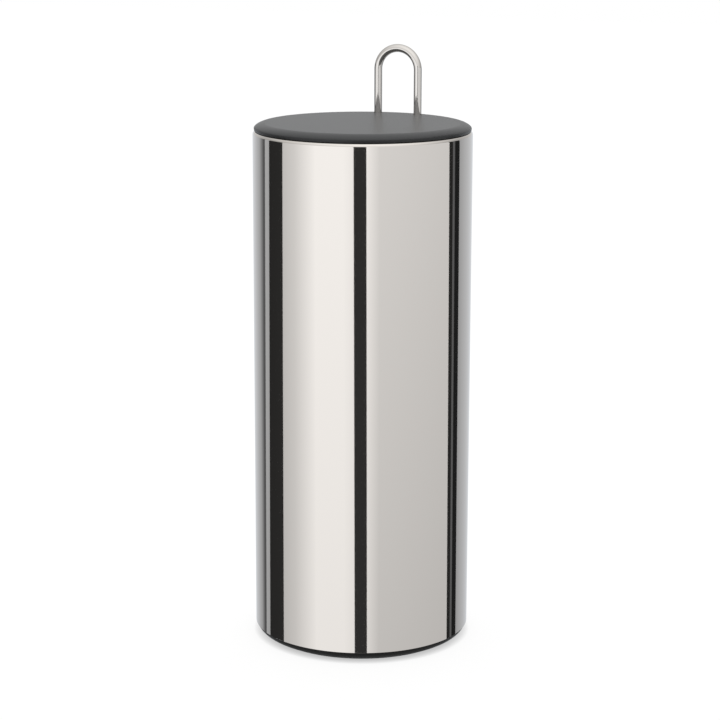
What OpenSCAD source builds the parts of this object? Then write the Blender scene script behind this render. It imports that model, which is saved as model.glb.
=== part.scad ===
// Storage canister for stacked toilet rolls, with a lift-out insert.
// A wire loop passes through the lid and carries a tray at its foot, so that pulling the
// loop brings lid, tray and rolls out of the polished steel tube together.
// Millimetres. The origin is on the floor under the centre of the tube, +Z is up,
// the front faces -Y and the loop stands at the back, at +Y.

/* [Steel tube] */
// Outside diameter of the steel tube
body_d = 145.6; // [125:0.2:180]
// Height of the steel, from its lower edge to the top of its rolled rim
body_h = 338.2; // [230:0.1:460]
// Thickness of the steel sheet
wall_t = 0.8; // [0.5:0.1:1.2]
// Outside radius of the curl that the rim is rolled into
rim_r = 2.4; // [1.8:0.1:3]

/* [Base] */
// Height of the black base that shows below the steel
base_h = 7; // [5.5:0.5:12]
// Wall thickness of the base moulding
base_t = 2.4; // [1.6:0.2:3]
// How far the base is set in from the side of the tube
base_inset = 0.5; // [0.3:0.1:2]
// Radius of the curve from the base's side to its lower edge
base_round = 8; // [4:0.5:10]
// Height of the underside of the base's floor above the lower edge of the tube
floor_rise = 0.9; // [0.5:0.1:3]
// Height of the skirt that plugs the tube, above that underside
skirt_h = 14; // [12:1:30]
// Wall thickness of that skirt
skirt_t = 1.8; // [1.2:0.1:2.4]
// Radial ribs under the floor of the base
base_ribs = 12; // [6:1:18]
// Depth of those ribs
base_rib_h = 3.5; // [2:0.5:3.5]
// Fins inside the skirt that centre the tray
fin_count = 6; // [3:1:12]
// Height of a fin's upright face above the floor of the base
fin_h = 7; // [4:0.5:8]

/* [Foot ring] */
// Width of the soft ring that the canister stands on
foot_w = 5.6; // [3:0.2:9]
// Distance from the side of the base in to the ring
foot_inset = 7.5; // [6:0.5:10]
// Depth of the groove that holds the ring
foot_groove = 1.4; // [1:0.1:2]
// How far the ring stands proud of the base
foot_proud = 1; // [0.5:0.1:1.5]

/* [Wire loop] */
// Diameter of the wire
wire_d = 5.5; // [4:0.1:7]
// Distance between the centres of the two legs
leg_span = 29.2; // [24:0.1:44]
// Clearance between the legs and the collar under the lid
leg_inset = 1.65; // [1.4:0.05:6]
// Height of the loop above the top of the lid
loop_h = 47.1; // [34:0.1:70]

/* [Lid] */
// Height of the lid above the rim of the tube
lid_h = 5.2; // [5:0.1:10]
// How far the lid's edge is set in from the side of the tube
lid_inset = 0.7; // [0:0.1:1.5]
// Radius of the curve that rounds the lid over into its side
lid_round = 3; // [2:0.5:4.5]
// How far the lid's side is drawn in again, at its lower edge
lid_tuck = 0.35; // [0.2:0.05:0.6]
// Thickness of the soft-touch cap
cap_t = 2.2; // [1.6:0.1:2.6]
// Thickness of the cap's side, at its lower edge
cap_side_t = 2.8; // [2.4:0.1:4]
// Thickness of the cushion ring between lid and rim
seal_t = 0.4; // [0.4:0.1:0.8]
// How far the cushion ring is set in from the edge of the lid
seal_inset = 1.2; // [0.2:0.1:1.5]
// Depth of the collar that locates the lid inside the rim
collar_h = 6; // [5:0.5:20]
// Wall thickness of that collar
collar_t = 2; // [1.4:0.1:2.4]
// Radial ribs under the lid
lid_ribs = 12; // [6:6:18]
// Depth of those ribs
lid_rib_h = 4; // [3.5:0.5:6]

/* [Tray] */
// Thickness of the tray's floor
tray_t = 2; // [1.5:0.1:3]
// Height of the low rim round the tray, above its floor
tray_rim_h = 2; // [2:0.5:15]
// Thickness of that rim
tray_rim_t = 1.8; // [1.2:0.1:2.4]
// Depth of the ribs under the tray
tray_rib_h = 4; // [3:0.5:8]
// Radial ribs under the tray
tray_ribs = 12; // [6:6:18]
// Vent holes, which let air past as the tray goes down the tube
vent_count = 6; // [3:3:6]
// Diameter of a vent hole
vent_d = 9; // [4:0.5:10]
// Distance of the vent holes from the centre of the tray
vent_place_r = 30; // [24:1:34]
// Height of the sockets that hold the legs, above the floor of the tray
socket_h = 9; // [6:0.5:25]
// Wall thickness of those sockets
socket_t = 2.8; // [2:0.1:2.8]

/* [Pads under the tray] */
// Diameter of a pad
pad_d = 12; // [8:0.5:14]
// How far a pad stands out below the tray
pad_proud = 1.6; // [1:0.1:3]
// Distance from the edge of the base's floor in to a pad
pad_inset = 7.5; // [2:0.5:12]

/* [Fasteners] */
// Diameter of the screws
screw_d = 3; // [2.5:0.1:3.5]
// Diameter of a screw's head
screw_head_d = 6; // [5:0.1:6.4]
// Height of a screw's head
screw_head_h = 1.9; // [1.2:0.1:2.2]
// Length of the screws that hold the tray, below the head
tray_screw_l = 10; // [8:0.5:14]
// Length of the screws that hold the lid, below the head
lid_screw_l = 6.4; // [5:0.1:7]
// Distance from the collar in to the centres of the lid's screws
lid_screw_inset = 17.2; // [9:0.2:24]
// Thickness of a washer
washer_t = 0.5; // [0.3:0.1:1]
// Thickness of the clips that hold the lid on the legs
clip_t = 0.8; // [0.6:0.1:0.9]
// Outside diameter of a clip
clip_d = 10.4; // [9.5:0.1:11]

/* [Clearances] */
// Clearance between pieces that are pressed or glued together
fit_gap = 0.1; // [0.05:0.05:0.2]
// Radial clearance of the legs in their sockets and bushes
leg_gap = 0.05; // [0.02:0.01:0.1]
// Radial clearance of the legs in the lid
lid_hole_gap = 0.15; // [0.1:0.05:0.4]
// Gap between the rim of the tube and the cushion ring
lid_gap = 0.3; // [0.2:0.1:0.6]
// Height of the lid's edge above the top of the rim, outside which it reaches down
lip_gap = 0.1; // [0.1:0.05:0.2]
// Radial clearance of the lid's collar in the rim
collar_gap = 0.5; // [0.3:0.1:1]
// Radial clearance of the tray in the rim, which it passes on its way out
tray_gap = 1.2; // [0.8:0.1:3]
// Radial clearance between the tray and the centring fins
fin_gap = 0.6; // [0.3:0.1:1.5]

/* [Hidden] */
$fn = 96;
eps = 0.01;

steel_colour = "#c9c6c2";
rod_colour = "#b9b7b4";
base_colour = "#2b2b2a";
foot_colour = "#1d1d1c";
cap_colour = "#4b4c4e";
core_colour = "#55565a";
soft_colour = "#242424";
tray_colour = "#6d6e72";
screw_colour = "#8f8f8c";

// Ribs and hubs of the three mouldings
hub_ro = 14;
hub_t = 2;
rib_t = 1.6;

// Levels and radii of the tube and its base
body_r = body_d / 2;
rim_top = base_h + body_h;
rim_open_r = body_r - 2 * rim_r;
plug_r = body_r - wall_t - fit_gap;
base_r = body_r - base_inset;
flange_z = base_h - fit_gap;
floor_under_z = base_h + floor_rise;
floor_z = floor_under_z + base_t;
skirt_top = floor_under_z + skirt_h;
foot_ro = base_r - foot_inset;
foot_ri = foot_ro - foot_w;
channel_ri = foot_ri - fit_gap - base_t;
moat_z = foot_proud + foot_groove + base_t;
moat_ro = plug_r - 1.5 * base_t;
flange_h = flange_z - foot_proud;
base_drop = max(base_round - flange_h, 0);
base_flat_r = base_r - sqrt(base_round * base_round - base_drop * base_drop);
foot_chamfer = 0.5;

// Levels and radii of the tray
tray_r = rim_open_r - tray_gap;
tray_ri = tray_r - tray_rim_t;
tray_z = floor_z + pad_proud;
tray_under_z = tray_z + tray_rib_h;
tray_floor_z = tray_under_z + tray_t;
tray_fillet = 1;
fin_r = tray_r + fin_gap;
fin_t = 2;
fin_drop = 1;
wire_r = wire_d / 2;
socket_bore_r = wire_r + leg_gap;
socket_r = socket_bore_r + socket_t;
head_room = 0.7;
head_gap = 0.6;
pocket_r = screw_head_d / 2 + head_gap;
pocket_top = tray_z + head_room + screw_head_h + washer_t;
socket_web = 2.6;
leg_foot_z = pocket_top + socket_web;
socket_top = tray_floor_z + socket_h;
leg_foot_chamfer = 0.5;
pad_recess = 1;
pad_place_r = channel_ri + base_t - pad_inset - pad_d / 2;
pad_boss_t = 1.5;
screw_hole_gap = 0.2;
thread_gap = 0.05;

// Levels and radii of the lid
lid_top = rim_top + lid_h;
seal_z = rim_top + lid_gap;
lid_edge_z = seal_z + seal_t;
lip_z = rim_top + lip_gap;
cap_under_z = lid_top - cap_t;
cap_r = body_r - lid_inset;
cap_ri = cap_r - cap_side_t;
cap_flat_r = cap_r - lid_round;
cap_wide_z = lid_top - lid_round;
cap_side_h = cap_wide_z - lip_z;
cap_side_round = (cap_side_h * cap_side_h + lid_tuck * lid_tuck) / (2 * lid_tuck);
core_r = cap_ri - fit_gap;
collar_r = rim_open_r - collar_gap;
collar_ri = collar_r - collar_t;
collar_z = lid_edge_z - collar_h;
collar_lead = 1;
lid_screw_place_r = collar_ri - lid_screw_inset;
clip_pocket_gap = 0.3;
clip_z = cap_under_z - clip_pocket_gap - clip_t;
clip_pocket_z = clip_z - clip_pocket_gap;
clip_grip = 0.5;
clip_mouth = 3.4;
groove_r = wire_r - clip_grip;
groove_cut_r = 2 * wire_r;
bush_wall = 1.6;
bush_h = 7;
bush_flange_t = 1;
bush_flange_w = 0.8;
bush_r = socket_bore_r + bush_wall;
bush_boss_t = 1.4;
bush_boss_r = bush_r + fit_gap + bush_boss_t;
bush_boss_z = lid_edge_z - bush_h - fit_gap;
boss_pin_r = 3.5;
boss_wall = 1.9;
boss_floor = 2;
boss_z = lid_edge_z - lid_rib_h;
boss_pin_z = boss_z + boss_floor + fit_gap;
lid_screw_top = boss_z + lid_screw_l;

// Place of the legs and level of the loop's arch
arch_r = leg_span / 2;
leg_place_r = collar_ri - leg_inset - wire_r;
leg_y = sqrt(leg_place_r * leg_place_r - arch_r * arch_r);
arch_z = lid_top + loop_h - arch_r - wire_r;
tap_spare = 2;
thread_depth = tray_screw_l + tap_spare;
tray_head_z = tray_z + head_room;
tray_thread_z = tray_head_z + screw_head_h;

// Angles round the axis: ribs lie between the pads and between the screws
third_turns = [-90, 30, 150];
rib_turn = 15;

// The waste outside a rounded corner. The corner is at the origin, the solid lies towards
// +X and +Y, and turn brings it to another quadrant.
module corner_waste(r, turn = 0) {
    rotate(turn)
        difference() {
            translate([-eps, -eps])
                square(r + eps);
            translate([r, r])
                circle(r);
        }
}

// Repeats a piece n times round the axis
module around(n, start = 0) {
    for (i = [0 : n - 1])
        rotate(start + i * 360 / n)
            children();
}

// Puts a piece at the centre of both legs
module at_legs() {
    for (side = [-1, 1])
        at_leg(side)
            children();
}

// Puts a piece at the centre of one leg: -1 for the left one, 1 for the right one
module at_leg(side) {
    translate([side * leg_span / 2, leg_y, 0])
        children();
}

// Puts a piece at each of three places on a circle of radius r
module at_thirds(r) {
    for (a = third_turns)
        at_third(r, a)
            children();
}

module at_third(r, a) {
    rotate(a)
        translate([r, 0, 0])
            children();
}

// A plain tube from z0 to z1
module tube(ro, ri, z0, z1) {
    translate([0, 0, z0])
        difference() {
            cylinder(r = ro, h = z1 - z0);
            translate([0, 0, -eps])
                cylinder(r = ri, h = z1 - z0 + 2 * eps);
        }
}

// A plain hole or rod from z0 to z1
module rod(r, z0, z1) {
    translate([0, 0, z0])
        cylinder(r = r, h = z1 - z0);
}

// One radial rib from r0 to r1, between two levels
module rib(r0, r1, z0, z1) {
    translate([r0, -rib_t / 2, z0])
        cube([r1 - r0, rib_t, z1 - z0]);
}

// Pan-head screw, pointing up, with the underside of its head at z = 0
module screw(length) {
    slot_w = 1;
    slot_depth = screw_head_h / 2;
    slot_l = screw_head_d * 0.6;
    head_round = screw_head_h * 0.45;
    difference() {
        rotate_extrude()
            difference() {
                translate([0, -screw_head_h])
                    square([screw_head_d / 2, screw_head_h]);
                translate([screw_head_d / 2, -screw_head_h])
                    corner_waste(head_round, 90);
            }
        for (a = [0, 90])
            rotate(a)
                translate([-slot_l / 2, -slot_w / 2, -screw_head_h - eps])
                    cube([slot_l, slot_w, slot_depth + eps]);
    }
    cylinder(r = screw_d / 2, h = length);
}

// Polished tube: straight wall with a rolled rim, open below
module canister_shell() {
    color(steel_colour)
        rotate_extrude() {
            translate([body_r - wall_t, base_h])
                square([wall_t, body_h - rim_r]);
            translate([body_r - rim_r, rim_top - rim_r])
                difference() {
                    circle(rim_r);
                    circle(rim_r - wall_t);
                    translate([0, -rim_r - eps])
                        square([rim_r + eps, rim_r + eps]);
                }
        }
}

// Section of the base moulding: plug, rounded flange, foot channel and floor
module base_section() {
    difference() {
        polygon([
            [0, floor_under_z],
            [channel_ri, floor_under_z],
            [channel_ri, foot_proud],
            [base_r, foot_proud],
            [base_r, flange_z],
            [plug_r, flange_z],
            [plug_r, skirt_top],
            [plug_r - skirt_t, skirt_top],
            [plug_r - skirt_t, floor_z],
            [moat_ro, floor_z],
            [moat_ro, moat_z],
            [channel_ri + base_t, moat_z],
            [channel_ri + base_t, floor_z],
            [0, floor_z]
        ]);
        translate([base_flat_r, foot_proud])
            difference() {
                translate([0, -eps])
                    square([base_r - base_flat_r + eps, min(base_round, flange_h) + eps]);
                translate([0, base_round])
                    circle(base_round);
            }
        translate([foot_ri - fit_gap, foot_proud - eps])
            square([foot_w + 2 * fit_gap, foot_groove + eps]);
    }
}

// Fin that guides the tray to the middle, with a sloping lead-in on top
module centring_fin() {
    rotate([90, 0, 0])
        linear_extrude(fin_t, center = true)
            polygon([
                [fin_r, moat_z - eps],
                [moat_ro + base_t / 2, moat_z - eps],
                [moat_ro + base_t / 2, floor_z],
                [plug_r - skirt_t / 2, floor_z],
                [plug_r - skirt_t / 2, skirt_top - fin_drop],
                [plug_r - skirt_t, skirt_top - fin_drop],
                [fin_r, floor_z + fin_h]
            ]);
}

// Moulding that closes the tube and carries the foot ring
module base_moulding() {
    color(base_colour) {
        rotate_extrude()
            base_section();
        around(fin_count)
            centring_fin();
        around(base_ribs)
            rib(hub_ro - hub_t / 2, channel_ri + base_t / 2, floor_under_z - base_rib_h, floor_under_z + eps);
        tube(hub_ro, hub_ro - hub_t, floor_under_z - base_rib_h, floor_under_z + eps);
    }
}

// Soft ring pressed into the groove of the base
module foot_ring() {
    ring_h = foot_proud + foot_groove - fit_gap;
    color(foot_colour)
        rotate_extrude()
            polygon([
                [foot_ri + foot_chamfer, 0],
                [foot_ro - foot_chamfer, 0],
                [foot_ro, foot_chamfer],
                [foot_ro, ring_h],
                [foot_ri, ring_h],
                [foot_ri, foot_chamfer]
            ]);
}

// One leg: grooved for its clip, tapped and chamfered at its foot
module leg() {
    difference() {
        union() {
            rod(wire_r, leg_foot_z + leg_foot_chamfer, arch_z);
            translate([0, 0, leg_foot_z])
                cylinder(r1 = wire_r - leg_foot_chamfer, r2 = wire_r, h = leg_foot_chamfer);
        }
        tube(groove_cut_r, groove_r, clip_z - thread_gap, clip_z + clip_t + thread_gap);
        rod(screw_d / 2 + thread_gap, leg_foot_z - eps, leg_foot_z + thread_depth);
    }
}

// Wire bent into a loop, with both legs running down to the tray
module loop_handle() {
    color(rod_colour) {
        at_legs()
            leg();
        translate([0, leg_y, arch_z])
            rotate([90, 0, 0])
                rotate_extrude(angle = 180)
                    translate([arch_r, 0])
                        circle(wire_r);
    }
}

// Section of the cap: flat top, rounded over and drawn in again to a lip that hides the seal
module cap_section() {
    difference() {
        translate([0, lip_z])
            square([cap_r, lid_top - lip_z]);
        translate([cap_flat_r, cap_wide_z])
            difference() {
                square(lid_round + cap_side_t);
                circle(lid_round);
            }
        translate([cap_r - cap_side_round, cap_wide_z])
            difference() {
                translate([0, -cap_side_h - eps])
                    square([cap_side_round + cap_side_t, cap_side_h + eps]);
                circle(cap_side_round);
            }
        translate([-eps, lip_z - eps])
            square([cap_r - seal_inset + eps, lid_edge_z - lip_z + eps]);
        translate([-eps, lid_edge_z - eps])
            square([cap_ri + eps, cap_under_z - lid_edge_z + eps]);
    }
}

// Soft-touch cap, with the pins that take the lid's screws
module lid_cap() {
    color(cap_colour)
        difference() {
            union() {
                rotate_extrude()
                    cap_section();
                at_thirds(lid_screw_place_r)
                    rod(boss_pin_r, boss_pin_z, cap_under_z + eps);
            }
            at_legs()
                rod(wire_r + lid_hole_gap, cap_under_z - eps, lid_top + eps);
            at_thirds(lid_screw_place_r)
                rod(screw_d / 2 + thread_gap, boss_pin_z - eps, lid_screw_top + thread_gap);
        }
}

// Section of the lid's inner moulding: plate and locating collar
module core_section() {
    translate([0, lid_edge_z])
        square([core_r, cap_under_z - lid_edge_z]);
    polygon([
        [collar_ri, lid_edge_z + eps],
        [collar_ri, collar_z],
        [collar_r - collar_lead, collar_z],
        [collar_r, collar_z + collar_lead],
        [collar_r, lid_edge_z + eps]
    ]);
}

// Inner moulding of the lid, with its collar, ribs and bosses
module lid_core() {
    pin_socket_r = boss_pin_r + fit_gap;
    color(core_colour)
        difference() {
            union() {
                rotate_extrude()
                    core_section();
                around(lid_ribs, rib_turn)
                    rib(hub_ro - hub_t / 2, collar_ri + collar_t / 2, boss_z, lid_edge_z + eps);
                tube(hub_ro, hub_ro - hub_t, boss_z, lid_edge_z + eps);
                at_thirds(lid_screw_place_r)
                    rod(pin_socket_r + boss_wall, boss_z, lid_edge_z + eps);
                at_legs()
                    rod(bush_boss_r, bush_boss_z, lid_edge_z + eps);
            }
            at_thirds(lid_screw_place_r) {
                rod(pin_socket_r, boss_z + boss_floor, cap_under_z + eps);
                rod(screw_d / 2 + screw_hole_gap, boss_z - eps, boss_z + boss_floor + eps);
            }
            at_legs() {
                rod(wire_r + lid_hole_gap, bush_boss_z, cap_under_z + eps);
                rod(bush_r + fit_gap, bush_boss_z - eps, lid_edge_z);
                rod(bush_r + bush_flange_w + fit_gap, min(collar_z, bush_boss_z) - eps, bush_boss_z);
                rod(clip_d / 2 + clip_pocket_gap, clip_pocket_z, cap_under_z + eps);
            }
        }
}

// Cushion ring that keeps the lid off the steel rim
module lid_seal() {
    color(soft_colour)
        tube(cap_r - seal_inset - fit_gap, collar_r + fit_gap, seal_z, lid_edge_z);
}

// Flanged soft bush that grips a leg under the lid
module leg_bush(side) {
    color(soft_colour)
        at_leg(side)
            difference() {
                union() {
                    rod(bush_r, bush_boss_z - fit_gap, lid_edge_z - fit_gap);
                    rod(bush_r + bush_flange_w, bush_boss_z - fit_gap - bush_flange_t, bush_boss_z - fit_gap);
                }
                rod(socket_bore_r, bush_boss_z - fit_gap - bush_flange_t - eps, lid_edge_z);
            }
}

module leg_bush_left() {
    leg_bush(-1);
}

module leg_bush_right() {
    leg_bush(1);
}

// Spring clips in the grooves of the legs, trapped between the lid's two mouldings
module leg_clips() {
    color(screw_colour)
        at_legs()
            difference() {
                tube(clip_d / 2, groove_r + thread_gap, clip_z, clip_z + clip_t);
                translate([-clip_mouth / 2, -clip_d, clip_z - eps])
                    cube([clip_mouth, clip_d, clip_t + 2 * eps]);
            }
}

// Screws that draw the lid's two mouldings together, from below
module lid_screws() {
    color(screw_colour)
        at_thirds(lid_screw_place_r)
            translate([0, 0, boss_z])
                screw(lid_screw_l);
}

// Section of the tray: floor, rounded rim and a fillet between them
module tray_section() {
    difference() {
        translate([0, tray_z])
            square([tray_r, tray_rib_h + tray_t + tray_rim_h]);
        translate([-eps, tray_z - eps])
            square([tray_ri + eps, tray_rib_h + eps]);
        translate([-eps, tray_floor_z])
            difference() {
                square([tray_ri + eps, tray_rim_h + eps]);
                translate([tray_ri + eps, 0])
                    corner_waste(tray_fillet, 90);
            }
        translate([tray_r, tray_floor_z + tray_rim_h])
            corner_waste(tray_rim_t / 2, 180);
        translate([tray_ri, tray_floor_z + tray_rim_h])
            corner_waste(tray_rim_t / 2, 270);
    }
}

// Tray that the rolls stand on, ribbed below, with a socket for each leg
module roll_tray() {
    color(tray_colour)
        difference() {
            union() {
                rotate_extrude()
                    tray_section();
                around(tray_ribs, rib_turn)
                    rib(hub_ro - hub_t / 2, tray_r - tray_rim_t / 2, tray_z, tray_under_z + eps);
                tube(hub_ro, hub_ro - hub_t, tray_z, tray_under_z + eps);
                at_thirds(pad_place_r)
                    rod(pad_d / 2 + fit_gap + pad_boss_t, tray_z, tray_under_z + eps);
                at_legs()
                    rod(socket_r, tray_z, socket_top);
            }
            at_legs() {
                rod(socket_bore_r, leg_foot_z, socket_top + eps);
                rod(screw_d / 2 + screw_hole_gap, pocket_top - eps, leg_foot_z + eps);
                rod(pocket_r, tray_z - eps, pocket_top);
            }
            at_thirds(pad_place_r)
                rod(pad_d / 2 + fit_gap, tray_z - eps, tray_z + pad_recess);
            around(vent_count)
                translate([vent_place_r, 0, 0])
                    rod(vent_d / 2, tray_z, tray_floor_z + eps);
        }
}

// Soft pad that the tray stands on, glued into its recess
module tray_pad(a) {
    pad_chamfer = 0.6;
    color(soft_colour)
        at_third(pad_place_r, a) {
            translate([0, 0, floor_z])
                cylinder(r1 = pad_d / 2 - pad_chamfer, r2 = pad_d / 2, h = pad_chamfer);
            rod(pad_d / 2, floor_z + pad_chamfer, tray_z + pad_recess - fit_gap);
        }
}

module tray_pad_front() {
    tray_pad(third_turns[0]);
}

module tray_pad_right() {
    tray_pad(third_turns[1]);
}

module tray_pad_left() {
    tray_pad(third_turns[2]);
}

// Screws that hold the tray on the legs, from below
module tray_screws() {
    color(screw_colour)
        at_legs()
            translate([0, 0, tray_thread_z])
                screw(tray_screw_l);
}

// Washers under the heads of those screws
module tray_washers() {
    color(screw_colour)
        at_legs()
            tube(screw_head_d / 2 + head_gap / 2, screw_d / 2 + screw_hole_gap, tray_thread_z, pocket_top);
}

canister_shell();
base_moulding();
foot_ring();
loop_handle();
lid_cap();
lid_core();
lid_seal();
leg_bush_left();
leg_bush_right();
leg_clips();
lid_screws();
roll_tray();
tray_pad_front();
tray_pad_left();
tray_pad_right();
tray_screws();
tray_washers();
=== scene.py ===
# %% [markdown]
# Storage canister for stacked toilet rolls
#
# This lesson dresses a polished steel canister for a studio picture. Its exact shapes and its
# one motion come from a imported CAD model, which is loaded first and never changed.

# %% Load the frame
import math

import bmesh
import bpy
from mathutils import Matrix, Vector


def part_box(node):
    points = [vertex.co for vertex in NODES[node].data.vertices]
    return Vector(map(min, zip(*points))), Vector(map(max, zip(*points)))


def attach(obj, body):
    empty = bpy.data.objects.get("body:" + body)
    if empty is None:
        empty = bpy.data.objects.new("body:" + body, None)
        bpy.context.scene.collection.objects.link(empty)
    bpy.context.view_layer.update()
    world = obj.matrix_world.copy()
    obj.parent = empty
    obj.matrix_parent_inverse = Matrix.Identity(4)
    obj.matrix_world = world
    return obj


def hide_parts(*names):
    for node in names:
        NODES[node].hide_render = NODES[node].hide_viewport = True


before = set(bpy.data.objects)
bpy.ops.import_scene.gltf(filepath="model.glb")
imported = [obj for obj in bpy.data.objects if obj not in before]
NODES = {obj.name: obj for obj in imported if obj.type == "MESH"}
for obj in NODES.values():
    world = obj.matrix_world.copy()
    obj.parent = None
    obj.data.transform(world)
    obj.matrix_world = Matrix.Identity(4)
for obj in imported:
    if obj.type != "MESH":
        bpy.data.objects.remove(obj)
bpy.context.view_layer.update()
print("CAD nodes:", len(NODES))

# %% [markdown]
# Units and colours
#
# The CAD model was drawn in millimetres and Blender works in metres, so every size below is
# written in millimetres and multiplied by MM. Colours are written as the hex values that a
# paint chart gives, and one function turns them into the linear values that light adds up in.

# %% Units and colours
MM = 0.001


def paint(code):
    """Turns a hex colour into linear red, green, blue and alpha."""
    channels = [int(code[i:i + 2], 16) / 255 for i in (1, 3, 5)]
    return [c / 12.92 if c <= 0.04045 else ((c + 0.055) / 1.055) ** 2.4 for c in channels] + [1.0]


WHITE = paint("#ffffff")
print("mid grey in linear light:", round(paint("#808080")[0], 3))

# %% [markdown]
# Adding nodes
#
# A material is a small graph. One function is enough for all of them: it makes a node, fills
# in its settings and connects its inputs. A number as a key means the input at that position.

# %% A helper for every node


def add(tree, kind, settings=None, links=None):
    """Adds a node, sets its values and connects its inputs."""
    node = tree.nodes.new(kind)
    for key, value in (settings or {}).items():
        if isinstance(key, int) or key in node.inputs:
            node.inputs[key].default_value = value
        else:
            setattr(node, key, value)
    for key, source in (links or {}).items():
        tree.links.new(source, node.inputs[key])
    return node


print("node helper ready")

# %% [markdown]
# The camera
#
# The product stands a little turned, and a long lens looks down on it from chest height. The
# place of the camera is given in its own view first, straight in front of the object, and
# then turned round the object by the same angle as the product was turned on its table.

# %% Camera
TURN = math.radians(23.8)
PITCH = math.radians(12.705)
ROLL = math.radians(0.148)
CAMERA_AT = Vector((-1.42, -1433.8, 512.8)) * MM
LENS = 108.7
FILM_WIDTH = 36
FAR_CLIP = 50
camera = bpy.data.objects.new("camera", bpy.data.cameras.new("camera"))
bpy.context.scene.collection.objects.link(camera)
camera.data.lens = LENS
camera.data.sensor_width = FILM_WIDTH
camera.data.clip_end = FAR_CLIP
turned = Matrix.Rotation(TURN, 4, "Z")
camera.matrix_world = (
    turned
    @ Matrix.Translation(CAMERA_AT)
    @ Matrix.Rotation(math.pi / 2 - PITCH, 4, "X")
    @ Matrix.Rotation(ROLL, 4, "Z")
)
bpy.context.scene.camera = camera
bpy.context.scene.view_settings.view_transform = "Standard"
print("camera at", [round(v, 3) for v in camera.matrix_world.translation])

# %% [markdown]
# Soft glows
#
# Lamp, ceiling and backdrop of this studio are large and have no visible edge, so each is
# drawn as a glow in the surroundings. A glow is brightest in one direction and fades with the
# cosine of the angle from it, raised to a power: the higher the power, the narrower the glow.
# The direction is given by how far it leans from straight up, away from the camera.

# %% A helper for every glow


def glow_round(tree, toward, tilt, focus):
    """Strength of a glow round a direction that leans away from the camera by this angle."""
    axis = turned @ Vector((0, math.sin(tilt), math.cos(tilt)))
    facing = add(tree, "ShaderNodeVectorMath", {"operation": "DOT_PRODUCT", 1: axis}, {0: toward})
    lit = add(tree, "ShaderNodeMath", {"operation": "MAXIMUM", 1: 0.0},
              {0: facing.outputs["Value"]})
    glow = add(tree, "ShaderNodeMath", {"operation": "POWER", 1: focus}, {0: lit.outputs[0]})
    return glow.outputs[0]


print("glow helper ready")

# %% [markdown]
# Light from the surroundings
#
# Matt surfaces get their light from a soft lamp overhead, a little behind the product, so the
# lid's rounded edge turns dark towards the camera. LIGHT_SIDE is the little that comes from
# everywhere else.

# %% Lamp overhead
LAMP_TILT = math.radians(14)
LAMP_FOCUS = 2.5
LAMP_GLOW = 2.10
LIGHT_SIDE = 0.14

world = bpy.data.worlds.new("studio_white")
bpy.context.scene.world = world
world.use_nodes = True
sky = world.node_tree
sky.nodes.clear()
toward = add(sky, "ShaderNodeTexCoord").outputs["Generated"]
lamp = add(sky, "ShaderNodeMath", {"operation": "MULTIPLY_ADD", 1: LAMP_GLOW, 2: LIGHT_SIDE},
           {0: glow_round(sky, toward, LAMP_TILT, LAMP_FOCUS)})
print("lamp leans back by", round(math.degrees(LAMP_TILT)), "degrees")

# %% [markdown]
# What mirrors see above and below
#
# Mirrors show the studio itself: a pale ceiling that is brightest above the camera, walls, and
# a bright backdrop low behind the product. The backdrop is what shines in the lid at a flat
# angle, and the wire's legs stand dark before it. Below the horizon mirrors see little, and
# only when they look steeply down do they see the lit floor. Heights here are the upward part
# of a direction, from 1 straight up to -1 straight down.

# %% Ceiling, backdrop and floor for mirrors
CEILING_TILT = math.radians(-32)
CEILING_FOCUS = 1.0
CEILING_GLOW = 0.80
BACKDROP_TILT = math.radians(83)
BACKDROP_FOCUS = 3.0
BACKDROP_GLOW = 0.31
MIRRORED_WALL = 0.42
MIRRORED_FLOOR = 0.12
FLOOR_SHEEN = 0.36
WALL_FOOT = -0.1
STEEP_FROM = -0.68
STEEP_TO = -0.80

height = add(sky, "ShaderNodeSeparateXYZ", links={0: toward}).outputs["Z"]
wall = add(sky, "ShaderNodeMapRange", {
    "From Min": WALL_FOOT, "From Max": 0.0,
    "To Min": MIRRORED_FLOOR, "To Max": MIRRORED_WALL}, {"Value": height})
below = add(sky, "ShaderNodeMapRange", {
    "From Min": STEEP_FROM, "From Max": STEEP_TO,
    "To Min": 0.0, "To Max": FLOOR_SHEEN - MIRRORED_FLOOR}, {"Value": height})
level = add(sky, "ShaderNodeMath", {"operation": "ADD"}, {0: wall.outputs[0], 1: below.outputs[0]})
backdrop = add(sky, "ShaderNodeMath", {"operation": "MULTIPLY_ADD", 1: BACKDROP_GLOW}, {
    0: glow_round(sky, toward, BACKDROP_TILT, BACKDROP_FOCUS), 2: level.outputs[0]})
mirrored = add(sky, "ShaderNodeMath", {"operation": "MULTIPLY_ADD", 1: CEILING_GLOW}, {
    0: glow_round(sky, toward, CEILING_TILT, CEILING_FOCUS), 2: backdrop.outputs[0]})
print("mirrors see a wall of", MIRRORED_WALL, "and a floor of", FLOOR_SHEEN)

# %% [markdown]
# One strength for each kind of ray
#
# The Light Path node tells which kind of ray asks. Rays from the camera, and those that pass
# through something clear, meet plain white, so the picture has a white background. Mirror rays
# meet the ceiling and backdrop, and all others meet the lamp.

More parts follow.
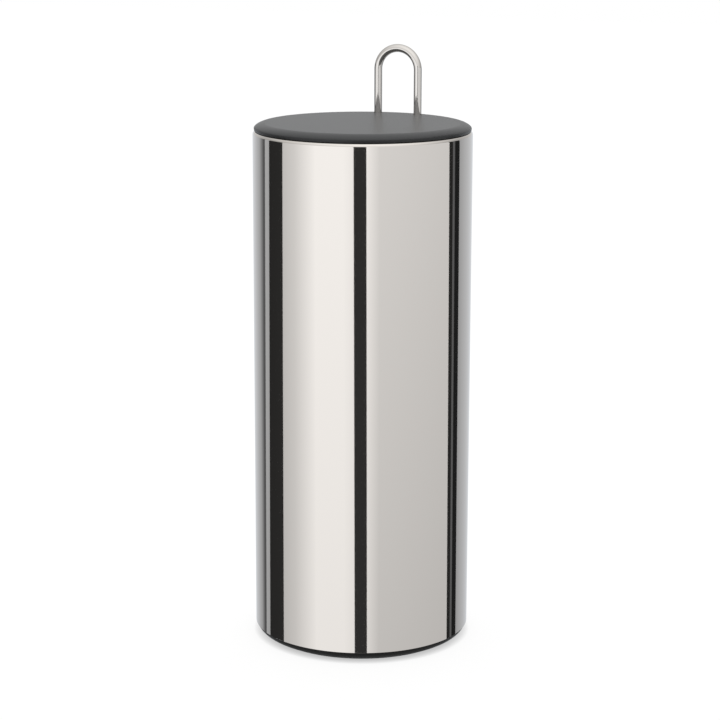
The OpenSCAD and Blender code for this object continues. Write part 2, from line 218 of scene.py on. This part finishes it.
# %% World
SEEN_WHITE = 1.0
path = add(sky, "ShaderNodeLightPath")
ambient = add(sky, "ShaderNodeBackground", {"Color": WHITE}, {"Strength": lamp.outputs[0]})
studio = add(sky, "ShaderNodeBackground", {"Color": WHITE}, {"Strength": mirrored.outputs[0]})
seen = add(sky, "ShaderNodeBackground", {"Color": WHITE, "Strength": SEEN_WHITE})
for_mirrors = add(sky, "ShaderNodeMixShader", links={
    "Fac": path.outputs["Is Glossy Ray"], 1: ambient.outputs[0], 2: studio.outputs[0]})
clear_rays = add(sky, "ShaderNodeMath", {"operation": "MAXIMUM"}, {
    0: path.outputs["Is Camera Ray"], 1: path.outputs["Is Transmission Ray"]})
for_camera = add(sky, "ShaderNodeMixShader", links={
    "Fac": clear_rays.outputs[0], 1: for_mirrors.outputs[0], 2: seen.outputs[0]})
add(sky, "ShaderNodeOutputWorld", links={"Surface": for_camera.outputs[0]})
print("world nodes:", len(sky.nodes))

# %% [markdown]
# The floor
#
# The floor is a plain pale sheet. Polished steel would show it as a second picture, so it is
# hidden from mirrors, and the sheets of the studio are hung down past it.

# %% Floor
FLOOR_HALF = 6.0
floor_mesh = bpy.data.meshes.new("floor")
bm = bmesh.new()
bmesh.ops.create_grid(bm, x_segments=1, y_segments=1, size=FLOOR_HALF)
bm.to_mesh(floor_mesh)
bm.free()
floor = bpy.data.objects.new("floor", floor_mesh)
bpy.context.scene.collection.objects.link(floor)
floor.visible_glossy = False
floor.visible_diffuse = False
print("floor reaches", FLOOR_HALF, "m each way")

# %% [markdown]
# The floor's white
#
# Most of the floor's white is its own, as on a light table, and the rest is light that falls
# on it. Its own white fades where something stands closer than CONTACT, which draws a tight
# shadow round the base, and the light that the canister keeps away adds a wide and faint one.

# %% Floor finish
FLOOR_GLOW = 0.86
FLOOR_WHITE = 1.025
CONTACT = 5.5 * MM
CONTACT_DARK = 0.42
CONTACT_RAYS = 16
floor_paint = bpy.data.materials.new("matt_white_floor")
floor_paint.use_nodes = True
tree = floor_paint.node_tree
tree.nodes.clear()
path = add(tree, "ShaderNodeLightPath")
matt = add(tree, "ShaderNodeBsdfDiffuse", {"Color": paint("#fdfdfd")})
near = add(tree, "ShaderNodeAmbientOcclusion", {"samples": CONTACT_RAYS, "Distance": CONTACT})
fade = add(tree, "ShaderNodeMath", {
    "operation": "MULTIPLY_ADD",
    1: FLOOR_WHITE * CONTACT_DARK, 2: FLOOR_WHITE * (1 - CONTACT_DARK)}, {0: near.outputs["AO"]})
glow = add(tree, "ShaderNodeEmission", {"Color": WHITE}, {"Strength": fade.outputs[0]})
share = add(tree, "ShaderNodeMath", {"operation": "MULTIPLY", 1: FLOOR_GLOW},
            {0: path.outputs["Is Camera Ray"]})
both = add(tree, "ShaderNodeMixShader", links={
    "Fac": share.outputs[0], 1: matt.outputs[0], 2: glow.outputs[0]})
add(tree, "ShaderNodeOutputMaterial", links={"Surface": both.outputs[0]})
floor_mesh.materials.append(floor_paint)
print("floor glow share:", FLOOR_GLOW)

# %% [markdown]
# What the steel sees
#
# A polished cylinder has no colour of its own: it squeezes the whole studio into upright
# bands. A point whose face is turned by an angle from the camera mirrors what stands at
# twice that angle, so the bands on the steel give the plan of the studio. White sheets stand
# round the product, with black flags at both sides and a dark gap where the camera looks in.
# Each sheet is named with the angles of its two edges, counted from the camera, how far each
# edge leans outwards in degrees per metre, how bright it is along each edge, and how much of
# that brightness it loses with each metre downwards.

# %% Plan of the studio
SHEETS = [
    ("back_left", -180, -150, 0, 0, 0.93, 0.66, 0.10),
    ("back_left_turn", -150, -136, 0, -2, 0.66, 0.47, 0.10),
    ("left_shade", -136, -127, -2, -3.8, 0.47, 0.12, 0.10),
    ("left_gap", -127, -123.3, -3.8, -3.8, 0.10, 0.14, 0.10),
    ("left_trim", -123.3, -115.0, -3.8, -3.8, 0.53, 0.50, 0.10),
    ("left_flag", -115, -91.4, -3.8, -1.6, 0.026, 0.030, 0.0),
    ("left_wall", -91.4, -75, -1.6, -1, 0.68, 0.80, 0.10),
    ("key_rise", -75, -50, -1, 0, 0.80, 1.15, 0.10),
    ("key", -50, -18, 0, 1, 1.17, 1.17, 0.09),
    ("key_fall", -18, -7.95, 1, 1.75, 1.16, 1.08, 0.09),
    ("camera_gap", -7.95, 5, 1.75, 1.85, 0.036, 0.036, 0.0),
    ("right_near", 5, 18, 1.85, 1, 1.04, 0.80, 0.17),
    ("right_wall", 18, 103, 1, 4.5, 0.80, 0.73, 0.17),
    ("right_flag", 103, 109, 4.5, 4.3, 0.026, 0.022, 0.0),
    ("right_trim", 109, 112.7, 4.3, 4.1, 0.15, 0.13, 0.0),
    ("right_flag_edge", 112.7, 121.6, 4.1, 4, 0.016, 0.018, 0.0),
    ("back_right_turn", 121.6, 131, 4, 0, 0.44, 0.55, 0.10),
    ("back_right", 131, 180, 0, 0, 0.55, 0.90, 0.10),
]
print("sheets:", len(SHEETS))

# %% [markdown]
# Shining cloth
#
# A sheet's own UV map runs from 0 to 1 between its two edges and from the lower hem to the
# upper one. The material fades along it from one edge's brightness to the other's, and a
# little towards the floor. The written brightness holds at the height EDGE_LEVEL.

# %% Sheet material
TENT_FOOT = -2.6
TENT_HEAD = 0.56
EDGE_LEVEL = -0.55


def sheet_material(name, tint, left_glow, right_glow, fade):
    """A cloth that shines by itself, between two brightnesses and dimmer at the hem."""
    mat = bpy.data.materials.new(name)
    mat.use_nodes = True
    tree = mat.node_tree
    tree.nodes.clear()
    uv = add(tree, "ShaderNodeUVMap", {"uv_map": "hang"})
    split = add(tree, "ShaderNodeSeparateXYZ", links={0: uv.outputs[0]})
    across = add(tree, "ShaderNodeMapRange", {"To Min": left_glow, "To Max": right_glow},
                 {"Value": split.outputs["X"]})
    upward = add(tree, "ShaderNodeMapRange", {
        "To Min": 1 + fade * (TENT_FOOT - EDGE_LEVEL),
        "To Max": 1 + fade * (TENT_HEAD - EDGE_LEVEL)}, {"Value": split.outputs["Y"]})
    strength = add(tree, "ShaderNodeMath", {"operation": "MULTIPLY"},
                   {0: across.outputs[0], 1: upward.outputs[0]})
    shine = add(tree, "ShaderNodeEmission", {"Color": paint(tint)},
                {"Strength": strength.outputs[0]})
    add(tree, "ShaderNodeOutputMaterial", links={"Surface": shine.outputs[0]})
    mat.cycles.emission_sampling = "NONE"
    return mat


print("sheets hang from", TENT_HEAD, "to", TENT_FOOT, "m")

# %% [markdown]
# Hanging the sheets
#
# Every sheet starts as a flat grid with its UV map, and its points are then bent round the
# product. The sheets behind the product are a little bluer, which cools the steel along its
# two outlines. Only mirror rays see these sheets.

# %% Hang the sheets
TENT_RADIUS = 3.0
COLUMN_DEGREES = 2
ROWS = 6
BEHIND = 105
FRONT_TINT = "#fcfdff"
BEHIND_TINT = "#f5f9ff"


def hang_sheet(name, left, right, left_lean, right_lean, left_glow, right_glow, fade):
    """Bends a grid round the product between two edges and gives it its material."""
    bm = bmesh.new()
    uv = bm.loops.layers.uv.new("hang")
    columns = max(2, math.ceil((right - left) / COLUMN_DEGREES))
    bmesh.ops.create_grid(bm, x_segments=columns, y_segments=ROWS, size=1.0)
    for face in bm.faces:
        for corner in face.loops:
            corner[uv].uv = ((corner.vert.co.x + 1) / 2, (corner.vert.co.y + 1) / 2)
    for vert in bm.verts:
        across, upward = (vert.co.x + 1) / 2, (vert.co.y + 1) / 2
        height = TENT_FOOT + (TENT_HEAD - TENT_FOOT) * upward
        drop = EDGE_LEVEL - height
        start, end = left + left_lean * drop, right + right_lean * drop
        angle = math.radians(start + (end - start) * across) + TURN
        vert.co = (TENT_RADIUS * math.sin(angle), -TENT_RADIUS * math.cos(angle), height)
    mesh = bpy.data.meshes.new("sheet_" + name)
    bm.to_mesh(mesh)
    bm.free()
    sheet = bpy.data.objects.new("sheet_" + name, mesh)
    bpy.context.scene.collection.objects.link(sheet)
    sheet.visible_camera = False
    sheet.visible_diffuse = False
    sheet.visible_shadow = False
    sheet.visible_transmission = False
    tint = BEHIND_TINT if min(abs(left), abs(right)) > BEHIND else FRONT_TINT
    mesh.materials.append(sheet_material("sheet_" + name, tint, left_glow, right_glow, fade))


for plan in SHEETS:
    hang_sheet(*plan)
print("sheets hung at", TENT_RADIUS, "m")

# %% [markdown]
# Starting a material
#
# All finishes of this product use the same shader and the object's own coordinates, so one
# function makes the pair. The values that are the same all over the surface are set on the
# shader itself.

# %% A helper for every material


def new_finish(name, colour, roughness, **settings):
    """Starts a finish and returns it with its tree, its shader and the object's coordinates."""
    mat = bpy.data.materials.new(name)
    mat.use_nodes = True
    tree = mat.node_tree
    shader = tree.nodes["Principled BSDF"]
    shader.inputs["Base Color"].default_value = paint(colour)
    shader.inputs["Roughness"].default_value = roughness
    for key, value in settings.items():
        socket = key.replace("_", " ").title().replace("Ior", "IOR")
        shader.inputs[socket].default_value = value
    place = add(tree, "ShaderNodeTexCoord").outputs["Object"]
    return mat, tree, shader, place


def per_metre(size_mm):
    """Scale of a pattern whose grains are this many millimetres apart."""
    return 1 / (size_mm * MM)


print("0.5 mm grain has a scale of", round(per_metre(0.5)))

# %% [markdown]
# Mirror-polished stainless steel
#
# Stainless steel is a slightly warm grey metal. Polishing wheels leave it almost a mirror:
# the roughness is very low, with a faint cloudiness where the wheel passed. The sheet itself
# is never perfectly true either. Rolling it leaves waves a hand's width long and a few
# hundredths of a millimetre deep, which gently bend the mirrored bands.

# %% Polished steel
POLISH_CLOUD = 35
POLISH_ROUGHNESS = (0.03, 0.05)
SHEET_WAVE = 90
WAVE_DEPTH = 0.06
ALONG_TUBE = (1.0, 1.0, 0.35)
polished_steel, tree, shader, place = new_finish(
    "mirror_polished_stainless_steel", "#dfdad4", 0.04, metallic=1.0)
cloud = add(tree, "ShaderNodeTexNoise", {"Scale": per_metre(POLISH_CLOUD), "Detail": 3.0},
            {"Vector": place})
haze = add(tree, "ShaderNodeMapRange", {
    "To Min": POLISH_ROUGHNESS[0], "To Max": POLISH_ROUGHNESS[1]}, {"Value": cloud.outputs["Fac"]})
tree.links.new(haze.outputs[0], shader.inputs["Roughness"])
stretch = add(tree, "ShaderNodeMapping", {"Scale": ALONG_TUBE}, {"Vector": place})
wave = add(tree, "ShaderNodeTexNoise", {"Scale": per_metre(SHEET_WAVE), "Detail": 0.0},
           {"Vector": stretch.outputs[0]})
ripple = add(tree, "ShaderNodeBump", {"Strength": 1.0, "Distance": WAVE_DEPTH * MM},
             {"Height": wave.outputs["Fac"]})
tree.links.new(ripple.outputs[0], shader.inputs["Normal"])
print(polished_steel.name)

# %% [markdown]
# Polished steel wire
#
# The loop is drawn wire of the same steel. Drawing it through a die and polishing it leaves
# very fine lines, which blur its reflections a touch more than those of the sheet.

# %% Polished wire
DRAWN_LINE = 0.4
DRAWN_ROUGHNESS = (0.05, 0.09)
ALONG_WIRE = (1.0, 1.0, 0.04)
polished_wire, tree, shader, place = new_finish(
    "polished_stainless_wire", "#d8d4cf", 0.07, metallic=1.0)
stretch = add(tree, "ShaderNodeMapping", {"Scale": ALONG_WIRE}, {"Vector": place})
lines = add(tree, "ShaderNodeTexNoise", {"Scale": per_metre(DRAWN_LINE), "Detail": 2.0},
            {"Vector": stretch.outputs[0]})
blur = add(tree, "ShaderNodeMapRange", {
    "To Min": DRAWN_ROUGHNESS[0], "To Max": DRAWN_ROUGHNESS[1]}, {"Value": lines.outputs["Fac"]})
tree.links.new(blur.outputs[0], shader.inputs["Roughness"])
print(polished_wire.name)

# %% [markdown]
# Soft-touch skin of the lid
#
# The lid is a moulding with a soft-touch skin, a rubbery lacquer that feels like peach. It is
# a plain dark grey with hardly any shine when seen square on. At a low angle it gains a dull
# sheen, which lifts the flat top to a mid grey and shows the wire's legs in it as a dark blur.
# Its grain is about a tenth of a millimetre, too fine for this picture, so it is drawn at
# half a millimetre.

# %% Soft-touch skin
SKIN_GRAIN = 0.5
SKIN_DEPTH = 0.02
SKIN_MOTTLE = 18
soft_touch, tree, shader, place = new_finish(
    "soft_touch_lacquer_dark_grey", "#434445", 0.37, ior=1.5, specular_ior_level=0.35)
mottle = add(tree, "ShaderNodeTexNoise", {"Scale": per_metre(SKIN_MOTTLE), "Detail": 4.0},
             {"Vector": place})
shade = add(tree, "ShaderNodeMix", {
    "data_type": "RGBA", 6: paint("#424344"), 7: paint("#454647")},
    {"Factor": mottle.outputs["Fac"]})
tree.links.new(shade.outputs[2], shader.inputs["Base Color"])
grain = add(tree, "ShaderNodeTexNoise", {"Scale": per_metre(SKIN_GRAIN), "Detail": 2.0},
            {"Vector": place})
feel = add(tree, "ShaderNodeBump", {"Strength": 0.35, "Distance": SKIN_DEPTH * MM},
           {"Height": grain.outputs["Fac"]})
tree.links.new(feel.outputs[0], shader.inputs["Normal"])
print(soft_touch.name)

# %% [markdown]
# Moulded plastics
#
# Base, tray and the inside of the lid are injection mouldings. Their moulds were spark
# eroded, which leaves a pattern of tiny pits and a satin gloss. The three differ only in
# colour, gloss and how coarse the pits are, so one function makes them all.

# %% Moulded plastics
FLOW_MARK = 40
GLOSS_SPREAD = 0.05


def spark_eroded(name, dark, light, roughness, pit_mm, depth_mm):
    """A moulded plastic with the pitted texture of a spark-eroded mould."""
    mat, tree, shader, place = new_finish(
        name, dark, roughness, ior=1.49, specular_ior_level=0.35)
    pits = add(tree, "ShaderNodeTexNoise", {
        "Scale": per_metre(pit_mm), "Detail": 3.0, "Roughness": 0.6}, {"Vector": place})
    flow = add(tree, "ShaderNodeTexNoise", {"Scale": per_metre(FLOW_MARK), "Detail": 2.0},
               {"Vector": place})
    tint = add(tree, "ShaderNodeMix", {"data_type": "RGBA", 6: paint(dark), 7: paint(light)},
               {"Factor": flow.outputs["Fac"]})
    tree.links.new(tint.outputs[2], shader.inputs["Base Color"])
    gloss = add(tree, "ShaderNodeMapRange", {
        "To Min": roughness - GLOSS_SPREAD, "To Max": roughness + GLOSS_SPREAD},
        {"Value": pits.outputs["Fac"]})
    tree.links.new(gloss.outputs[0], shader.inputs["Roughness"])
    relief = add(tree, "ShaderNodeBump", {"Strength": 0.6, "Distance": depth_mm * MM},
                 {"Height": pits.outputs["Fac"]})
    tree.links.new(relief.outputs[0], shader.inputs["Normal"])
    return mat


base_plastic = spark_eroded(
    "black_moulded_polypropylene", "#1b1b1a", "#1f1f1e", 0.48, 0.6, 0.03)
lid_plastic = spark_eroded("grey_moulded_abs", "#434446", "#47484a", 0.45, 0.5, 0.02)
tray_plastic = spark_eroded(
    "grey_moulded_polypropylene", "#444547", "#494a4c", 0.42, 0.8, 0.03)
print(base_plastic.name, lid_plastic.name, tray_plastic.name)

# %% [markdown]
# Rubber and silicone
#
# The foot ring is a matt rubber that grips the floor. Cushion ring, bushes and pads are
# black silicone, which is smoother and keeps a dull shine. Both pick up a little dust, seen
# as a faint, uneven paleness.

# %% Rubber and silicone
DUST_DEPTH = 0.02


def elastic(name, dark, dusty, roughness, speck_mm):
    """A soft, dull black with a trace of dust."""
    mat, tree, shader, place = new_finish(name, dark, roughness, ior=1.45)
    dust = add(tree, "ShaderNodeTexNoise", {"Scale": per_metre(speck_mm), "Detail": 5.0},
               {"Vector": place})
    tint = add(tree, "ShaderNodeMix", {"data_type": "RGBA", 6: paint(dark), 7: paint(dusty)},
               {"Factor": dust.outputs["Fac"]})
    tree.links.new(tint.outputs[2], shader.inputs["Base Color"])
    skin = add(tree, "ShaderNodeBump", {"Strength": 0.5, "Distance": DUST_DEPTH * MM},
               {"Height": dust.outputs["Fac"]})
    tree.links.new(skin.outputs[0], shader.inputs["Normal"])
    return mat


foot_rubber = elastic("matt_black_rubber", "#151515", "#1f1f1e", 0.80, 1.2)
silicone = elastic("black_silicone", "#1c1c1c", "#232323", 0.55, 3)
print(foot_rubber.name, silicone.name)

# %% [markdown]
# Stainless fasteners
#
# Screws, washers and spring clips are plain stainless steel as it comes from the machine:
# duller than the polished tube, with turning lines a fifth of a millimetre apart.

# %% Fasteners
TURNING_LINE = 0.2
TURNED_ROUGHNESS = (0.26, 0.40)
plain_steel, tree, shader, place = new_finish(
    "turned_stainless_steel", "#c3c2be", 0.32, metallic=1.0)
turning = add(tree, "ShaderNodeTexNoise", {"Scale": per_metre(TURNING_LINE), "Detail": 1.0},
              {"Vector": place})
dull = add(tree, "ShaderNodeMapRange", {
    "To Min": TURNED_ROUGHNESS[0], "To Max": TURNED_ROUGHNESS[1]},
    {"Value": turning.outputs["Fac"]})
tree.links.new(dull.outputs[0], shader.inputs["Roughness"])
print(plain_steel.name)

# %% [markdown]
# Dressing the CAD nodes
#
# Most nodes already have the real shape, so they keep it and only get their finish.

# %% Dress the CAD nodes
FINISHES = {
    "base_moulding": base_plastic,
    "foot_ring": foot_rubber,
    "lid_core": lid_plastic,
    "lid_seal": silicone,
    "leg_bush_left": silicone,
    "leg_bush_right": silicone,
    "leg_clips": plain_steel,
    "lid_screws": plain_steel,
    "roll_tray": tray_plastic,
    "tray_pad_front": silicone,
    "tray_pad_left": silicone,
    "tray_pad_right": silicone,
    "tray_screws": plain_steel,
    "tray_washers": plain_steel,
}
for name, finish in FINISHES.items():
    mesh = NODES[name].data
    mesh.materials.clear()
    mesh.materials.append(finish)
print("dressed nodes:", len(FINISHES))

# %% [markdown]
# Turning a profile
#
# Tube and wire ends are round, so they are drawn as half a section and spun round an axis,
# just as sheet is spun or a bar is turned. An arc helper gives the points of each bend.

# %% Profile helpers


def bend(centre, radius, start, end, steps):
    """Points of an arc in the section, in millimetres and degrees."""
    angles = [math.radians(start + (end - start) * i / steps) for i in range(steps + 1)]
    return [(centre[0] + radius * math.cos(a), centre[1] + radius * math.sin(a)) for a in angles]


def draw_profile(bm, points, centre=(0, 0), closed=True):
    """Draws the section in the plane y = centre y and returns its vertices and edges."""
    verts = [bm.verts.new(((centre[0] + r) * MM, centre[1] * MM, z * MM)) for r, z in points]
    ends = verts[1:] + verts[:1] if closed else verts[1:]
    edges = [bm.edges.new(pair) for pair in zip(verts, ends)]
    return verts + edges


print("quarter bend has", len(bend((0, 0), 1, 0, 90, 8)), "points")

# %% [markdown]
# Closing a mesh
#
# Spinning and mirroring leave doubled points, and they can turn a shape inside out. So every
# mesh is merged first, its faces are made to agree, and if its volume then comes out negative
# they all point inwards and are turned round. Edges that bend less than a limit shade smooth.
# Points closer than MERGE are one point, and NEAR is the slack when places are compared.

# %% A helper for every piece
MERGE = 0.001
NEAR = 0.01
SMOOTH_BELOW = math.radians(35)


def to_object(bm, name, finish):
    """Closes the mesh, turns its faces outwards and makes it an object of the scene."""
    bmesh.ops.remove_doubles(bm, verts=bm.verts, dist=MERGE * MM)
    bmesh.ops.recalc_face_normals(bm, faces=bm.faces)
    if bm.calc_volume(signed=True) < 0:
        bmesh.ops.reverse_faces(bm, faces=bm.faces)
    mesh = bpy.data.meshes.new(name)
    bm.to_mesh(mesh)
    bm.free()
    mesh.shade_smooth()
    mesh.set_sharp_from_angle(angle=SMOOTH_BELOW)
    mesh.materials.append(finish)
    piece = bpy.data.objects.new(name, mesh)
    bpy.context.scene.collection.objects.link(piece)
    print(name, "has", len(mesh.polygons), "faces")
    return piece


print("edges shade smooth below", round(math.degrees(SMOOTH_BELOW)), "degrees")

# %% [markdown]
# The steel tube
#
# The tube is 0.8 mm sheet. Its upper edge is rolled inwards into a round bead, which makes it
# stiff and safe to touch, and its lower edge stands on the flange of the base. The section
# goes up the outside, round the bead, and down the inside again. The CAD model has the same
# form, but a mirror shows every facet, so this one is spun much finer.

# %% Steel tube
tube_low, tube_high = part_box("canister_shell")
TUBE_R = tube_high.x / MM
TUBE_TOP = tube_high.z / MM
TUBE_FOOT = tube_low.z / MM
SHEET = 0.8
BEAD = 2.4
BEAD_TURN = 270
OUTER_STEPS = 36
INNER_STEPS = 30
EDGE = 0.1
TUBE_STEPS = 288
bead_centre = (TUBE_R - BEAD, TUBE_TOP - BEAD)
section = (
    [(TUBE_R - SHEET, TUBE_FOOT), (TUBE_R - EDGE, TUBE_FOOT), (TUBE_R, TUBE_FOOT + EDGE)]
    + bend(bead_centre, BEAD, 0, BEAD_TURN, OUTER_STEPS)
    + bend(bead_centre, BEAD - SHEET, BEAD_TURN, 0, INNER_STEPS)
)
bm = bmesh.new()
bmesh.ops.spin(bm, geom=draw_profile(bm, section), cent=(0, 0, 0), axis=(0, 0, 1),
               angle=2 * math.pi, steps=TUBE_STEPS, use_merge=True)
tube = to_object(bm, "steel_tube", polished_steel)
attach(tube, "canister")
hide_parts("canister_shell")

# %% [markdown]
# Sizes of the wire loop
#
# The loop's width, depth and height come from the CAD node, and so does the height of the
# groove that holds the spring clip. The wire itself is 5.5 mm thick, with a chamfered foot
# and a tapped hole for the tray's screw.

# %% Sizes of the wire loop
loop_low, loop_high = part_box("loop_handle")
WIRE_R = 2.75
LEG_X = loop_high.x / MM - WIRE_R
LEG_Y = (loop_low.y + loop_high.y) / 2 / MM
LEG_FOOT = loop_low.z / MM
ARCH_Z = loop_high.z / MM - WIRE_R - LEG_X
CLIP_PLAY = 0.05
GROOVE_R = 2.25
GROOVE_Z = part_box("leg_clips")[0].z / MM - CLIP_PLAY
GROOVE_W = 0.9
BORE_R = 1.55
BORE_DEPTH = 12
CHAMFER = 0.5
print("legs are", round(2 * LEG_X, 1), "mm apart")

# %% [markdown]
# The wire loop
#
# One leg is turned first. The ring of points at its upper end is then spun through a quarter
# turn, which bends half of the arch, and a mirror adds the other half. The bend is kept out
# of the first merge, because its ring has to stay open.

# %% Wire loop
LEG_STEPS = 56
ARCH_STEPS = 40
TOP_BAND = 1
leg_section = [
    (0, LEG_FOOT + BORE_DEPTH),
    (BORE_R, LEG_FOOT + BORE_DEPTH),
    (BORE_R, LEG_FOOT),
    (WIRE_R - CHAMFER, LEG_FOOT),
    (WIRE_R, LEG_FOOT + CHAMFER),
    (WIRE_R, GROOVE_Z),
    (GROOVE_R, GROOVE_Z),
    (GROOVE_R, GROOVE_Z + GROOVE_W),
    (WIRE_R, GROOVE_Z + GROOVE_W),
    (WIRE_R, ARCH_Z),
]
bm = bmesh.new()
bmesh.ops.spin(bm, geom=draw_profile(bm, leg_section, (-LEG_X, LEG_Y), closed=False),
               cent=Vector((-LEG_X, LEG_Y, 0)) * MM, axis=(0, 0, 1),
               angle=2 * math.pi, steps=LEG_STEPS, use_merge=True)
bmesh.ops.remove_doubles(bm, verts=bm.verts, dist=MERGE * MM)
upper = [e for e in bm.edges
         if e.is_boundary and min(v.co.z for v in e.verts) > (ARCH_Z - TOP_BAND) * MM]
ring = upper + list({v for e in upper for v in e.verts})
bmesh.ops.spin(bm, geom=ring, cent=Vector((0, LEG_Y, ARCH_Z)) * MM, axis=(0, 1, 0),
               angle=math.pi / 2, steps=ARCH_STEPS, use_merge=False)
bmesh.ops.mirror(bm, geom=bm.verts[:] + bm.edges[:] + bm.faces[:], matrix=Matrix.Identity(4),
                 merge_dist=NEAR * MM, axis="X")
loop = to_object(bm, "wire_loop", polished_wire)
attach(loop, "carrier")
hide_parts("loop_handle")

# %% [markdown]
# Section of the lid
#
# The CAD lid is flat on top and turns down in a quarter circle. The real one is softer: its
# shoulder sinks gently at first and steeply at the end, to a widest line a little above the
# lip, and from there its side is drawn in again. The shoulder is drawn as a superellipse.
# PUFF is its power: 2 would be a plain ellipse and 1 a straight bevel.

# %% Sizes of the lid
_, cap_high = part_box("lid_cap")
CAP_R = cap_high.x / MM
CAP_TOP = cap_high.z / MM
LIP_GAP = 0.1
CAP_LIP = TUBE_TOP + LIP_GAP
CAD_ROUND = 3
CAD_WIDE_Z = CAP_TOP - CAD_ROUND
SHOULDER = 7.2
SHOULDER_DROP = 3.5
PUFF = 1.6
TUCK = 0.28
INSET = 0.15
WIDE_R = CAP_R - INSET
WIDE_Z = CAP_TOP - SHOULDER_DROP
FLAT_R = WIDE_R - SHOULDER
print("lid is flat up to a radius of", round(FLAT_R, 2), "mm")

# %% [markdown]
# Softening the shoulder
#
# A copy of the CAD mesh keeps the leg holes and the pins underneath, and only its outer rings
# move. A ring on the old quarter circle goes to the same angle on the new shoulder, and a
# ring of the side goes to the same share of the new side.

# %% Soften a point
ON_ROUND = 0.05
SIDE_BAND = 0.5


def soften(vert):
    """Moves a point of the CAD lid's outer side to the softer section."""
    r, z = math.hypot(vert.co.x, vert.co.y) / MM, vert.co.z / MM
    above, beyond = z - CAD_WIDE_Z, r - (CAP_R - CAD_ROUND)
    if above > -NEAR and abs(math.hypot(above, beyond) - CAD_ROUND) < ON_ROUND:
        angle = math.atan2(max(above, 0), max(beyond, 0))
        new_r = FLAT_R + SHOULDER * max(math.cos(angle), 0) ** (2 / PUFF)
        new_z = WIDE_Z + SHOULDER_DROP * math.sin(angle) ** (2 / PUFF)
    elif r > CAP_R - SIDE_BAND and z > CAP_LIP - NEAR:
        depth = (CAD_WIDE_Z - z) / (CAD_WIDE_Z - CAP_LIP)
        new_r = WIDE_R - TUCK * depth ** 2
        new_z = WIDE_Z - (WIDE_Z - CAP_LIP) * depth
    else:
        return
    vert.co = (vert.co.x * new_r / r, vert.co.y * new_r / r, new_z * MM)


print("side of the lid is", round(WIDE_Z - CAP_LIP, 2), "mm high")

# %% [markdown]
# Exact slopes
#
# The flat top is cut into long thin triangles, and smooth shading would draw streaks along
# them. So top and shoulder get the exact slope of their section instead, and every other face
# keeps the slope that Blender finds.

# %% Slope of the section


def slope(point):
    """Exact outward direction of top and shoulder at a point, or none elsewhere."""
    r, z = math.hypot(point.x, point.y) / MM, point.z / MM
    if z > CAP_TOP - MERGE:
        return Vector((0, 0, 1))
    if r < FLAT_R or z < WIDE_Z - NEAR:
        return None
    rise = max(z - WIDE_Z, 0) / SHOULDER_DROP
    reach = max(1 - rise ** PUFF, 0) ** (1 / PUFF)
    outward = reach ** (PUFF - 1) / SHOULDER / r / MM
    upward = rise ** (PUFF - 1) / SHOULDER_DROP
    return Vector((point.x * outward, point.y * outward, upward)).normalized()


def exact_slopes(mesh):
    """One direction for each corner; a zero direction leaves the corner to Blender."""
    slopes = []
    for face in mesh.polygons:
        corners = [slope(mesh.vertices[i].co) for i in face.vertices]
        slopes += corners if all(corners) else [(0, 0, 0)] * len(corners)
    return slopes


print("slope at the centre of the lid:", tuple(slope(Vector((0, 0, CAP_TOP * MM)))))

# %% [markdown]
# The lid
#
# The CAD mesh is loose triangles, so the copy is merged before its rings are moved.

# %% Lid
bm = bmesh.new()
bm.from_mesh(NODES["lid_cap"].data)
bm.transform(NODES["lid_cap"].matrix_world)
bmesh.ops.remove_doubles(bm, verts=bm.verts, dist=MERGE * MM)
for vert in bm.verts:
    soften(vert)
lid = to_object(bm, "soft_lid", soft_touch)
lid.data.normals_split_custom_set(exact_slopes(lid.data))
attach(lid, "carrier")
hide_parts("lid_cap")
